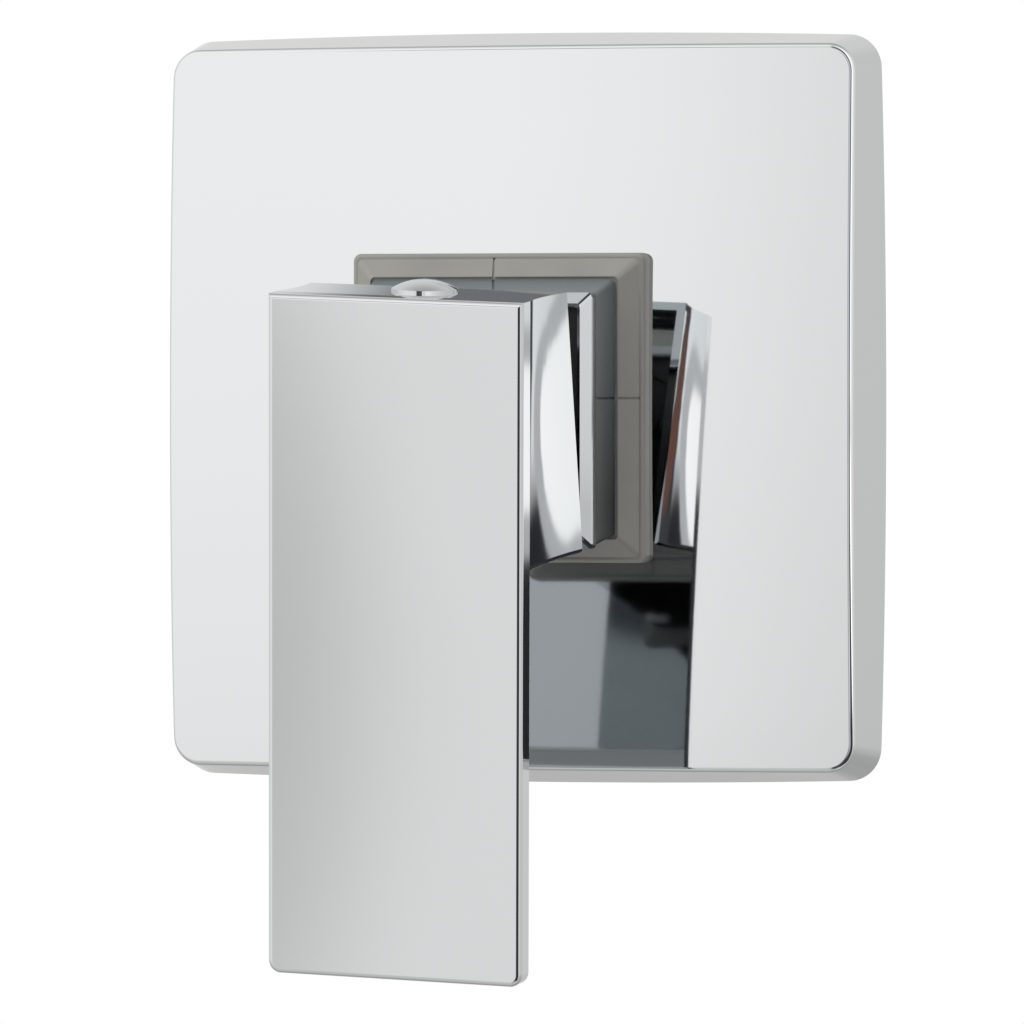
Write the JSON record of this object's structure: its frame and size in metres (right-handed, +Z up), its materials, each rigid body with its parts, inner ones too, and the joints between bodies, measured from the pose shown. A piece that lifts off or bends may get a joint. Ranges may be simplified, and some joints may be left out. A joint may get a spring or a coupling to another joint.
{
  "type": "single-lever shower mixer",
  "caption": "Concealed single-lever shower mixer: square chrome wall plate, grey collar, square hub with a long flat lever, ceramic cartridge and brass valve body.",
  "frame": {"origin": "where the valve's axis crosses the finished wall, in the plane of the plate gasket's back face", "axes": "+Z up, the front faces -Y, +Y into the wall, +X to the right seen from the front"},
  "size_m": [0.1552, 0.137, 0.1938],
  "materials": {
    "chrome_plate": "polished chrome-plated brass sheet",
    "chrome_handle": "polished chrome-plated zinc casting",
    "chrome_sleeve": "polished chrome-plated brass",
    "chrome_plug": "chrome-plated ABS",
    "grey_polymer": "satin moulded",
    "black_plastic": "fine grained",
    "white_plastic": "smooth moulded",
    "brass": "cast, machined at the ports",
    "steel": "stainless, bright",
    "alumina": "lapped",
    "rubber": "moulded",
    "foam": "closed-cell foam",
    "fibre": "pressed fibre"
  },
  "bodies": {
    "fixed": {"escutcheon_plate": "chrome_plate", "wall_gasket": "foam", "carrier_frame": "black_plastic", "carrier_screws": "steel", "collar": "grey_polymer", "sleeve": "chrome_sleeve", "inner_shield": "black_plastic", "spigot_seal": "rubber", "valve_body": "brass", "outlet_plug": "brass", "plug_washer": "fibre", "hot_check_valve": "white_plastic", "cold_check_valve": "white_plastic", "retaining_nut": "brass", "cartridge_housing": "black_plastic", "cartridge_base": "white_plastic", "port_seals": "rubber", "fixed_disc": "alumina", "limit_ring": "black_plastic"},
    "rotor": {"rotor": "black_plastic", "pivot_pin": "steel", "stop_cam": "black_plastic"},
    "handle": {"handle": "chrome_handle", "stem_bushing": "black_plastic", "lever_stem": "brass", "set_screw": "steel", "screw_plug": "chrome_plug"},
    "disc_slider": {"moving_disc": "alumina", "disc_carrier": "white_plastic"}
  },
  "joints": [
    {"name": "temperature_turn", "type": "hinge", "parent": "fixed", "child": "rotor", "pos_m": [0, -0.0325, 0], "axis": [0, 1, 0], "range_deg": [-47.3, 42.7]},
    {"name": "flow_lift", "type": "hinge", "parent": "rotor", "child": "handle", "pos_m": [0, -0.0325, 0], "axis": [-0.9992, 0, 0.0401], "range_deg": [0, 25]},
    {"name": "disc_slide", "type": "slide", "parent": "rotor", "child": "disc_slider", "axis": [-0.0401, 0, -0.9992], "range_m": [0, 0.00455]}
  ],
  "couplings": [
    {"joint": "disc_slide", "follows": "flow_lift", "m_per_rad": 0.01035}
  ]
}
